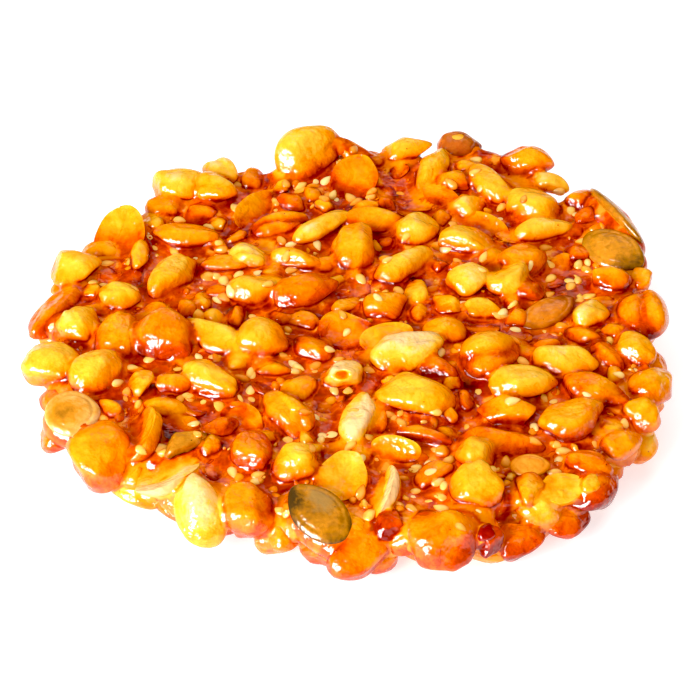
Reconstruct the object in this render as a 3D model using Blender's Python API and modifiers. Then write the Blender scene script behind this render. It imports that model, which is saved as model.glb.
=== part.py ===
"""A round piece of nut brittle: peanuts and pumpkin seeds set in a slab of caramel.

Metres, +Z up. The origin is under the middle of the piece, on the flat face that it was poured on.
The caramel and the peanuts that it holds are one solid. Each pumpkin seed is a solid of its own, in a pocket.
"""

import math
import random

import bmesh
import bpy
from mathutils import Matrix, Vector

MM = 0.001

# Driving dimensions, in millimetres.
MEAN_RADIUS = 62.3          # of the uneven outline
OUTLINE_WAVES = ((1, 45.0, 3.0), (2, 5.0, 1.1), (3, 60.0, 1.9))  # lobes, direction of one, height
POOL_LEVEL = 10.6           # height of the caramel between the nuts
SLAB_INSET = 4.5            # how far the caramel keeps inside the outline, at its top
FOOT_INSET = 8.5            # and at its foot
UNDER_FLOOR = 1.5           # how far shapes reach below the flat face before it is cut
LAYER_NUT = (12.0, 8.5)     # length and width of a common nut
BASE_LEVEL = 3.2            # height of the middle of the lower layer of nuts
BASE_SPACING = 10.5         # between neighbours in the lower layer
RIM_LEVEL = 7.4             # height of the nuts along the side of the rim
RIM_INSET = 4.8             # how far the middles of those nuts keep inside the outline
RIM_SPACING = 12.0
LAYER_UNEVENNESS = 0.5      # how far a nut lies above or below its layer
FILLER_LEVEL = 10.9         # height of the small nuts in the gaps of the upper layer
FILLER_LENGTHS = (5.0, 9.0)
SEED_GAP = 0.3              # between a pumpkin seed and its pocket
BED_DROP = 2.2              # how far below a pumpkin seed the lump of caramel lies that holds it
CENTRE_SHIFT = (-0.1, -0.3)  # brings the middle of the whole onto the origin

# Shares.
SIZE_RANGE = (0.8, 1.1)     # sizes of the nuts in the lower layer, 1 being a common nut
FILLER_WIDTHS = (0.6, 0.8)  # of their length
CLEARANCE = 0.86            # how near two nuts of the upper layer may come, 1 being side by side
KERNEL_THICKNESS = 0.80     # of the width, as the next ones
HALF_THICKNESS = 0.83       # of the kernel that a half is split from
CHUNK_THICKNESS = 0.72
SEED_THICKNESS = 0.32
BED_THICKNESS = 0.62
BED_SPREAD = 1.12           # size of that lump seen from above, 1 being the seed's own
FACE_HOLLOW = 0.12          # depth of the hollow in a half's flat face, of half its thickness
FACE_LIP = 0.08             # height of the lip round it
BLOCKINESS = 0.45           # of a broken piece, from 0 for a ball to 1 for a box
SEED_NARROWING = 0.28       # of a pumpkin seed at its tip
SEED_BAND = (0.72, 0.12, 0.15)  # groove inside the seed's edge: its place, width and depth

# How fine the solids are.
VOXEL = 1.0
SMOOTH_PASSES = 2
KEPT_FACES = 0.065          # share of the faces that is kept where the surface is even
SLAB_SEGMENTS = 96
FILLER_TRIES = 2600
CUTTER_SIZE = (200.0, 200.0, 10.0)

CARAMEL_COLOUR = (0.78, 0.27, 0.03, 1.0)
SEED_COLOUR = (0.36, 0.30, 0.10, 1.0)

# Nuts of the upper layer: x, y, z of the middle, length, width, then heading, pitch and roll in degrees.
# Heading turns the long axis from +X, pitch lifts its far end, roll turns the nut about it.

# Kernels, and halves that lie on their flat face.
KERNELS = (
    (-8.0, 56.3, 13.6, 15.3, 11.5, 30, 10, 35),
    (23.5, 61.0, 11.5, 9.0, 8.0, 10, 0, 0),
    (37.5, 55.0, 12.5, 11.0, 8.0, -15, 0, 0),
    (42.0, 50.0, 10.5, 9.0, 5.5, -30, 0, 0),
    (30.0, 47.0, 12.0, 14.0, 8.5, -55, 5, 0),
    (39.0, 39.9, 11.5, 14.0, 10.5, -5, 0, 12),
    (18.0, 52.5, 12.0, 12.0, 6.5, 75, 8, 0),
    (22.5, 48.0, 12.5, 8.0, 5.5, -10, 0, 0),
    (48.5, 42.5, 11.5, 7.0, 6.0, 30, 0, 0),
    (53.0, 15.5, 12.0, 8.5, 7.0, -12, 0, 0),
    (41.0, 32.5, 11.5, 12.0, 6.5, 12, 0, 0),
    (25.0, 40.5, 12.0, 8.0, 6.5, 15, 0, 0),
    (56.7, -26.8, 5.0, 8.0, 7.0, 60, 0, 0),
    (35.8, 21.5, 12.0, 11.0, 8.0, 25, 0, 0),
    (14.5, 31.7, 12.0, 9.5, 8.5, 0, 0, 0),
    (11.6, 20.2, 12.0, 14.0, 8.0, 38, 0, 0),
    (1.5, 25.2, 12.5, 12.5, 9.5, 80, 10, 0),
    (-5.2, 32.7, 12.0, 14.0, 6.0, 35, 0, 0),
    (-14.0, 33.7, 12.0, 12.5, 6.5, 18, 0, 0),
    (-10.7, 22.0, 12.0, 10.0, 5.5, -15, 0, 0),
    (-19.9, 22.8, 12.0, 8.0, 6.5, -20, 0, 0),
    (-35.8, 46.5, 12.5, 12.5, 9.0, -10, 0, 0),
    (-28.3, 44.7, 12.5, 10.0, 8.5, -25, 0, 0),
    (-26.8, 52.5, 12.0, 10.0, 6.0, -60, 10, 30),
    (-33.5, 29.5, 12.0, 14.0, 6.5, -4, 0, 0),
    (-42.5, 24.0, 12.0, 8.5, 4.0, 85, 0, 0),
    (-35.0, 17.0, 12.5, 15.0, 8.0, 62, 0, 0),
    (-25.0, 21.0, 11.5, 10.0, 4.5, -5, 0, 0),
    (-46.0, 10.0, 12.0, 8.0, 7.5, -10, 0, 0),
    (-53.2, 1.0, 12.0, 9.5, 8.5, -60, 0, 0),
    (-45.5, -4.0, 12.0, 15.0, 8.5, 80, 15, 0),
    (-36.3, -3.9, 12.5, 12.5, 11.5, -40, 0, 0),
    (-27.0, -2.8, 12.0, 14.5, 8.5, -35, 0, 0),
    (-49.0, -14.0, 12.0, 12.0, 11.0, 55, 0, 0),
    (-57.6, -10.2, 10.5, 12.0, 10.5, -30, 0, 0),
    (-58.8, 7.3, 10.0, 17.5, 8.5, 62, 0, 0),
    (-33.6, -16.7, 12.0, 9.0, 5.0, 5, 0, 0),
    (-26.1, -16.3, 12.0, 13.0, 8.5, -28, 0, 0),
    (-46.8, -35.6, 9.0, 14.5, 12.8, -60, 0, 0),
    (-28.0, -49.1, 9.0, 14.0, 9.0, 110, 40, 0),
    (-18.4, -49.8, 10.0, 12.5, 10.5, 80, 20, 0),
    (-18.2, -37.2, 12.0, 9.5, 8.0, 80, 15, 0),
    (-9.5, -40.6, 12.5, 10.0, 9.0, 0, 0, 0),
    (17.9, -56.4, 9.0, 14.0, 12.5, -75, -15, 0),
    (2.8, -57.8, 6.0, 14.5, 9.5, 52, 0, 0),
    (2.0, -27.4, 12.5, 14.0, 6.0, 75, 0, 0),
    (5.5, -27.4, 11.0, 10.0, 5.0, 80, 0, 0),
    (-11.1, -25.9, 12.0, 15.0, 8.0, -62, 0, 0),
    (24.5, -46.5, 12.5, 11.5, 10.0, 80, 0, 0),
    (24.6, -38.0, 12.5, 8.5, 7.5, 60, 0, 0),
    (-1.0, -14.0, 12.0, 9.0, 8.0, -90, 40, 0),
    (31.8, -53.3, 4.5, 10.0, 7.5, 20, 0, 0),
    (11.5, -7.8, 12.5, 14.5, 10.0, 22, 0, 0),
    (13.2, -21.2, 12.5, 16.0, 10.5, -18, 0, 0),
    (-17.0, -4.4, 12.5, 10.0, 10.5, -20, 0, 0),
    (7.5, 7.0, 11.5, 10.0, 7.5, 20, 0, 0),
    (-9.0, 11.5, 12.0, 14.0, 8.0, 20, 0, 0),
    (-18.0, 12.5, 12.0, 13.0, 8.0, 18, 0, 0),
    (19.0, -1.0, 11.5, 9.0, 7.5, 0, 0, 0),
    (27.6, -8.7, 12.5, 13.2, 11.5, 28, 0, 0),
    (33.5, -17.5, 12.5, 14.0, 8.0, 5, 0, 0),
    (43.0, -9.4, 12.0, 12.5, 8.0, -8, 0, 0),
    (51.5, -8.5, 12.0, 10.0, 5.0, -62, 0, 0),
    (48.3, -19.8, 12.0, 14.0, 8.0, -25, 0, 0),
    (43.0, -28.0, 12.5, 14.2, 9.5, 42, 0, 0),
    (57.2, -7.1, 12.0, 10.0, 8.0, -40, 0, 0),
    (59.2, 5.2, 11.0, 14.5, 10.5, 100, 0, -25),
    (59.5, -16.6, 10.5, 10.5, 9.0, 60, 0, 0),
    (57.0, -24.0, 10.5, 9.0, 7.5, 70, 0, 0),
    (48.5, 4.5, 12.0, 7.5, 7.5, 0, 0, 0),
    (27.0, 6.5, 11.5, 8.0, 5.5, -5, 0, 0),
    (52.0, -33.8, 11.5, 8.0, 6.0, 30, 0, 0),
    (29.0, -33.5, 10.8, 16.0, 8.0, -5, 0, 0),
    (45.8, -44.9, 11.5, 5.0, 3.5, 70, 0, 0),
    (46.0, -39.5, 11.0, 9.0, 6.0, -20, 0, 0),
    (46.0, -43.5, 8.5, 13.0, 9.0, 40, 0, 0),
    (41.5, -47.5, 4.5, 9.0, 7.0, 30, 0, 0),
    (-39.5, -39.0, 4.5, 11.0, 7.0, -35, 0, 0),
    (-54.0, -24.5, 7.0, 12.0, 9.0, 15, 0, 0),
    (54.5, 34.0, 6.5, 13.0, 10.0, -60, 0, 0),
)

# Split halves whose flat face shows.
HALVES = (
    (1.5, 49.5, 12.5, 11.5, 10.0, 75, 25, 0),
    (20.0, 43.5, 12.0, 10.0, 5.0, -35, 0, 20),
    (28.0, 34.5, 11.0, 13.0, 6.0, -35, 0, 30),
    (-19.3, 38.8, 12.0, 13.0, 7.0, 60, 0, 35),
    (-47.0, 30.2, 12.0, 13.5, 11.0, 80, 25, -10),
    (-39.5, -31.0, 12.5, 15.0, 9.0, 83, 0, -50),
    (-20.0, -26.5, 11.5, 11.0, 6.0, -45, 0, 20),
    (-34.6, -41.9, 10.5, 15.0, 9.5, 36, 0, -25),
    (-0.8, -43.6, 12.3, 12.5, 9.5, 78, 10, 0),
    (7.0, -47.0, 12.0, 13.0, 7.0, 82, 0, -60),
    (9.0, -36.0, 12.0, 10.0, 6.0, -12, 0, 40),
    (-0.5, 0.0, 12.0, 11.5, 10.5, 15, 0, 12),
    (40.1, -45.9, 11.5, 8.5, 7.0, 20, 0, 15),
    (8.0, -2.4, 11.8, 11.0, 8.5, 12, 0, 10),
)

# Broken pieces.
CHUNKS = (
    (12.5, 60.0, 12.0, 11.0, 6.0, 10, 0, 0),
    (24.2, 27.7, 12.0, 11.0, 8.0, -5, 0, 0),
    (24.5, 15.0, 12.5, 9.0, 8.0, 45, 0, 0),
    (36.5, 12.0, 12.0, 6.0, 5.5, 0, 0, 0),
    (5.0, 35.2, 12.0, 11.0, 6.5, -5, 0, 0),
    (-38.0, 41.0, 11.0, 8.0, 7.0, 0, 0, 0),
    (-31.0, 38.0, 11.0, 8.0, 5.0, 0, 0, 0),
    (-56.0, 19.5, 11.5, 11.0, 9.0, 0, 0, 0),
    (-40.0, -17.3, 12.5, 6.5, 5.0, 80, 0, 0),
    (-24.5, -29.5, 12.0, 8.0, 4.0, 15, 0, 0),
    (14.5, -32.0, 12.0, 10.0, 4.5, -18, 0, 0),
    (17.0, -11.5, 11.5, 10.0, 5.0, -38, 0, 0),
    (31.4, -25.5, 12.5, 12.0, 8.0, -10, 0, 0),
    (34.0, -46.5, 11.5, 7.5, 5.5, 90, 0, 0),
    (26.0, -56.5, 8.0, 8.0, 5.5, 80, 40, 0),
    (8.5, -55.0, 9.5, 7.0, 7.0, 0, 0, 0),
    (49.5, 36.0, 12.5, 5.0, 4.0, 60, 0, 0),
    (59.5, 17.0, 11.0, 6.0, 5.0, 0, 0, 0),
    (32.6, 15.2, 12.5, 9.5, 8.5, 35, 0, 0),
)

PUMPKIN_SEEDS = {
    "pumpkin_seed_front": (-5.3, -53.5, 11.8, 15.0, 10.0, 132, 14, -10),
    "pumpkin_seed_left": (-53.0, -25.2, 11.6, 10.8, 10.5, 10, 0, 15),
    "pumpkin_seed_edge": (55.8, 35.6, 12.8, 19.5, 9.0, -62, 0, -61),
    "pumpkin_seed_right": (54.6, 25.0, 12.2, 15.0, 9.5, -42, 0, 15),
    "pumpkin_seed_inner": (40.3, 6.5, 11.0, 14.0, 7.5, 42, 0, 0),
    "pumpkin_seed_small": (34.5, -40.8, 12.2, 7.8, 5.5, 3, 0, 10),
}


def clear_scene():
    for obj in list(bpy.data.objects):
        bpy.data.objects.remove(obj)


def outline(angle):
    """Distance of the uneven edge from the middle, in millimetres, in that direction."""
    waves = (height * math.cos(lobes * (angle - math.radians(turn))) for lobes, turn, height in OUTLINE_WAVES)
    return MEAN_RADIUS + sum(waves)


def placement(x, y, z, heading, pitch, roll):
    """Matrix that puts a shape made at the origin, with its long axis along X, in its place."""
    turn = (
        Matrix.Rotation(math.radians(heading), 4, "Z")
        @ Matrix.Rotation(math.radians(-pitch), 4, "Y")
        @ Matrix.Rotation(math.radians(roll), 4, "X")
    )
    shift = Vector((x + CENTRE_SHIFT[0], y + CENTRE_SHIFT[1], z)) * MM
    return Matrix.Translation(shift) @ turn


def add_ellipsoid(bm, nut, thickness, shape=None, subdivisions=2):
    """Adds one nut. shape moves a point of the unit sphere before it takes the nut's size."""
    x, y, z, length, width, heading, pitch, roll = nut
    made = bmesh.ops.create_icosphere(bm, subdivisions=subdivisions, radius=1.0)
    half_size = Vector((length, width, width * thickness)) * (MM / 2)
    place = placement(x, y, z, heading, pitch, roll)
    for vert in made["verts"]:
        point = shape(vert.co) if shape else vert.co
        vert.co = place @ (point * half_size)


def dished(point):
    """A split half: the upper side of the unit sphere made flat, with a shallow hollow along it."""
    if point.z <= 0:
        return point
    across = min(1.0, math.hypot(point.x, point.y))
    lip = FACE_LIP * math.sin(math.pi * across)
    hollow = FACE_HOLLOW * (1 - across * across)
    return Vector((point.x, point.y, lip - hollow))


def blocky(point):
    """A broken piece: the unit sphere pushed out towards a box with rounded edges."""
    largest = max(abs(value) for value in point)
    return point * (1 - BLOCKINESS + BLOCKINESS / largest)


def ring(rng, mean, level, spacing):
    """Nuts at about that height, side by side along a ring that follows the outline."""
    length, width = LAYER_NUT
    count = max(1, round(2 * math.pi * mean / spacing))
    start = rng.uniform(0, 2 * math.pi)
    for number in range(count):
        angle = start + 2 * math.pi * number / count
        reach = outline(angle) * mean / MEAN_RADIUS
        size = rng.uniform(*SIZE_RANGE)
        height = level + rng.uniform(-LAYER_UNEVENNESS, LAYER_UNEVENNESS)
        place = (reach * math.cos(angle), reach * math.sin(angle), height)
        yield (*place, length * size, width * size, rng.uniform(0, 180), rng.uniform(-15, 15), 0)


def lower_nuts():
    """The lower layer, in rings from the edge inwards, and the nuts along the side of the rim."""
    rng = random.Random(7)
    mean = MEAN_RADIUS - LAYER_NUT[0] / 2
    while mean > 0:
        yield from ring(rng, mean, BASE_LEVEL, BASE_SPACING)
        mean -= BASE_SPACING
    yield from ring(rng, MEAN_RADIUS - RIM_INSET, RIM_LEVEL, RIM_SPACING)


def footprint(nut):
    """Radius of the circle that a nut about covers, seen from above."""
    return math.sqrt(nut[3] * nut[4]) / 2


def fillers(upper):
    """Small nuts in the gaps that the upper layer leaves."""
    rng = random.Random(11)
    nuts = list(upper)
    for _ in range(FILLER_TRIES):
        angle = rng.uniform(0, 2 * math.pi)
        reach = (outline(angle) - RIM_INSET) * math.sqrt(rng.random())
        length = rng.uniform(*FILLER_LENGTHS)
        width = length * rng.uniform(*FILLER_WIDTHS)
        height = FILLER_LEVEL + rng.uniform(-LAYER_UNEVENNESS, LAYER_UNEVENNESS)
        place = (reach * math.cos(angle), reach * math.sin(angle), height)
        nut = (*place, length, width, rng.uniform(0, 180), rng.uniform(-15, 15), rng.uniform(-20, 20))
        gaps = (
            math.hypot(nut[0] - other[0], nut[1] - other[1]) / (footprint(nut) + footprint(other))
            for other in nuts
        )
        if min(gaps) > CLEARANCE:
            nuts.append(nut)
            yield nut


def bed(seed):
    """The lump of caramel under a pumpkin seed."""
    x, y, z, length, width, *turns = seed
    return (x, y, z - BED_DROP, length * BED_SPREAD, width * BED_SPREAD, *turns)


def add_slab(bm):
    """The caramel up to its pool level, out to a little inside the outline."""
    height = (POOL_LEVEL + UNDER_FLOOR) * MM
    made = bmesh.ops.create_cone(
        bm, cap_ends=True, segments=SLAB_SEGMENTS, radius1=1.0, radius2=1.0, depth=height
    )
    middle = Vector((CENTRE_SHIFT[0], CENTRE_SHIFT[1], (POOL_LEVEL - UNDER_FLOOR) / 2)) * MM
    for vert in made["verts"]:
        inset = SLAB_INSET if vert.co.z > 0 else FOOT_INSET
        reach = (outline(math.atan2(vert.co.y, vert.co.x)) - inset) * MM
        vert.co = Vector((vert.co.x * reach, vert.co.y * reach, vert.co.z)) + middle


def material(name, colour, roughness):
    made = bpy.data.materials.new(name)
    made.use_nodes = True
    made.diffuse_color = colour
    shader = made.node_tree.nodes["Principled BSDF"]
    shader.inputs["Base Color"].default_value = colour
    shader.inputs["Roughness"].default_value = roughness
    shader.inputs["Metallic"].default_value = 0.0
    shader.inputs["Coat Weight"].default_value = 1.0
    return made


def mesh_object(name, bm, collection, finish=None):
    mesh = bpy.data.meshes.new(name)
    bm.to_mesh(mesh)
    bm.free()
    mesh.shade_smooth()
    if finish:
        mesh.materials.append(finish)
    obj = bpy.data.objects.new(name, mesh)
    collection.objects.link(obj)
    return obj


def new_collection(name):
    made = bpy.data.collections.new(name)
    bpy.context.scene.collection.children.link(made)
    return made


def cut(obj, cutter):
    """Takes the cutter's shape out of the object, and leaves the cutter as a hidden helper."""
    cutter.hide_render = True
    cutter.display_type = "WIRE"
    modifier = obj.modifiers.new("cut by " + cutter.name, "BOOLEAN")
    modifier.operation = "DIFFERENCE"
    modifier.solver = "EXACT"
    modifier.object = cutter


def make_brittle(collection, cutters, caramel):
    """Caramel and peanuts as one solid, with a flat underside."""
    bm = bmesh.new()
    add_slab(bm)
    upper = (*KERNELS, *HALVES, *CHUNKS, *PUMPKIN_SEEDS.values())
    for nut in (*lower_nuts(), *KERNELS, *fillers(upper)):
        add_ellipsoid(bm, nut, KERNEL_THICKNESS)
    for nut in HALVES:
        add_ellipsoid(bm, nut, HALF_THICKNESS, dished, subdivisions=3)
    for nut in CHUNKS:
        add_ellipsoid(bm, nut, CHUNK_THICKNESS, blocky)
    for seed in PUMPKIN_SEEDS.values():
        add_ellipsoid(bm, bed(seed), BED_THICKNESS)
    brittle = mesh_object("brittle", bm, collection, caramel)

    fuse = brittle.modifiers.new("fuse", "REMESH")
    fuse.mode = "VOXEL"
    fuse.voxel_size = VOXEL * MM
    fuse.use_smooth_shade = True
    melt = brittle.modifiers.new("melt", "SMOOTH")
    melt.factor = 0.5
    melt.iterations = SMOOTH_PASSES
    thin_out = brittle.modifiers.new("thin out", "DECIMATE")
    thin_out.ratio = KEPT_FACES
    thin_out.use_collapse_triangulate = True

    bm = bmesh.new()
    bmesh.ops.create_cube(bm, size=1.0)
    size = Vector(CUTTER_SIZE) * MM
    for vert in bm.verts:
        vert.co = vert.co * size - Vector((0, 0, size.z / 2))
    cut(brittle, mesh_object("below_the_flat_face", bm, cutters))
    return brittle


def seed_shape(point):
    """A pumpkin seed: a flat oval that narrows to a blunt tip, with a raised band round its edge."""
    narrowing = 1 - SEED_NARROWING * max(0.0, point.x) ** 2
    place, width, depth = SEED_BAND
    across = math.hypot(point.x, point.y)
    groove = 1 - depth * math.exp(-(((across - place) / width) ** 2))
    return Vector((point.x, point.y * narrowing, point.z * groove))


def make_seed(name, seed, collection, cutters, brittle, finish):
    """One pumpkin seed, and its pocket in the brittle."""
    bm = bmesh.new()
    add_ellipsoid(bm, seed, SEED_THICKNESS, seed_shape, subdivisions=3)
    mesh_object(name, bm, collection, finish)

    bm = bmesh.new()
    add_ellipsoid(bm, seed, SEED_THICKNESS, seed_shape, subdivisions=3)
    pocket = mesh_object(name + "_pocket", bm, cutters)
    grow = pocket.modifiers.new("gap", "DISPLACE")
    grow.strength = SEED_GAP * MM
    grow.mid_level = 0.0
    cut(brittle, pocket)


def main():
    clear_scene()
    pieces = new_collection("nut brittle piece")
    cutters = new_collection("cutters")
    caramel = material("caramel", CARAMEL_COLOUR, 0.12)
    seed_skin = material("pumpkin seed", SEED_COLOUR, 0.25)
    brittle = make_brittle(pieces, cutters, caramel)
    for name, seed in PUMPKIN_SEEDS.items():
        make_seed(name, seed, pieces, cutters, brittle, seed_skin)


main()
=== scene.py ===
"""The looks of a round piece of nut brittle: peanuts, sesame and pumpkin seeds in glossy amber caramel.

Lengths are in millimetres up to the point where a mesh is made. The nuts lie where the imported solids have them.
"""

import functools
import math
import random

import bmesh
import bpy
import numpy as np
from mathutils import Matrix, Vector
from mathutils.bvhtree import BVHTree


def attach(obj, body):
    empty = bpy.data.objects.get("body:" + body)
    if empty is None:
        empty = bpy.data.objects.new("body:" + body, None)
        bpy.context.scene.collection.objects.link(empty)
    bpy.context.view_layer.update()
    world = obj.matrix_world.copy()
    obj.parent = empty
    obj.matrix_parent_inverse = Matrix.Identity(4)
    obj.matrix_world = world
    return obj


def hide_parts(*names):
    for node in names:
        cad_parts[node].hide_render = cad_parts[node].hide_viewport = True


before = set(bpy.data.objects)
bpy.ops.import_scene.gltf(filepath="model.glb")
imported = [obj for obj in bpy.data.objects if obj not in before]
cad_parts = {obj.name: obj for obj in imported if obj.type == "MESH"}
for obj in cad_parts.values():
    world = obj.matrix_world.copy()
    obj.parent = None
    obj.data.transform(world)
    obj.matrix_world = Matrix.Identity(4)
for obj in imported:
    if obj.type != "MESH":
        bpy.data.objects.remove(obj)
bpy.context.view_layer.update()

MM = 0.001

# The solid's own dimensions, in millimetres, so that the same nuts come out in the same places.
MEAN_RADIUS = 62.3
OUTLINE_WAVES = ((1, 45.0, 3.0), (2, 5.0, 1.1), (3, 60.0, 1.9))  # lobes, direction of one, height
POOL_LEVEL = 10.6
SLAB_INSET = 4.5
FOOT_INSET = 8.5
UNDER_FLOOR = 1.5
LAYER_NUT = (12.0, 8.5)
BASE_LEVEL = 3.2
BASE_SPACING = 10.5
RIM_LEVEL = 7.4
RIM_INSET = 4.8
RIM_SPACING = 12.0
LAYER_UNEVENNESS = 0.5
FILLER_LEVEL = 10.9
FILLER_LENGTHS = (5.0, 9.0)
BED_DROP = 2.2
CENTRE_SHIFT = (-0.1, -0.3)

SIZE_RANGE = (0.8, 1.1)
FILLER_WIDTHS = (0.6, 0.8)
CLEARANCE = 0.86
FILLER_TRIES = 2600
KERNEL_THICKNESS = 0.80
HALF_THICKNESS = 0.83
CHUNK_THICKNESS = 0.72
SEED_THICKNESS = 0.32
BED_THICKNESS = 0.62
BED_SPREAD = 1.12
FACE_HOLLOW = 0.12
FACE_LIP = 0.08
SEED_NARROWING = 0.28
SLAB_SEGMENTS = 96

# The caramel's surface.
VOXEL = 0.71
RELIEF_SPAN = 150
RELIEF_CELL = 0.6
RELIEF_SPREAD = 2.6
CREVICE = 4.5
MELT_PASSES = 7            # how far the caramel runs into the gaps
# How far from a nut the caramel is painted darker, as shade at the nut's foot.
CONTACT_SHADE_REACH = 0.7
UNDERSIDE_FILM = 0.05      # caramel under the lowest nuts
CLEARNESS = 2.6            # depth at which what lies under it is mostly hidden
OPEN_COVER = 0.3           # cover from which a place counts as lying between the nuts
UNDER_TONE = 0.5
GLAZE_TONE = 0.12          # how much deeper the glaze makes a nut's own colour
PAINTED_PALE_TOP = -0.07            # and how much less so on its top: painted light from above, with the thinner glaze there
SHADE_AND_RUN_DOWN = 0.34             # and how much more so low on its sides: painted shade, with the glaze that has run down there
OUTLINE = 0.3               # width of the painted shade line where caramel meets a nut
# How dark that painted shade line is at most.
CONTACT_SHADE_DARKNESS = 0.5
FILLED = 0.35               # how far the caramel fills the gaps, 1 being up to the evened height of the nuts
FACE_FILM = 0.22           # how far below the nuts' own faces it stays
FILM_SWELL = 0.32          # how far it swells where it runs over them
DEEP = 12.0                # its depth where no nut lies under it
DEPTH_LEVELS = (0.0, 8.0, 11.0)
CARAMEL_DEPTHS = (0.12, 0.5, 0.95)  # the deepest colour at these heights, painted lighter low down for the floor's light
# The same for the nuts, painted lighter low down for the floor's light.
NUT_DEPTHS = (0.5, 0.6, 0.85)

# The camera, in millimetres and degrees.
CAMERA_PLACE = (0.5, -474.95, 405.03)
CAMERA_TILT = 50.0
LENS = 159.4
SENSOR = 36.0
READ_LEVEL = 12.0           # height of the plane on which the places of the sesame seeds are given

# Nuts of the upper layer: x, y, z of the middle, length, width, then heading, pitch and roll in degrees.
# Heading turns the long axis from +X, pitch lifts its far end, roll turns the nut about it.

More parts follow.
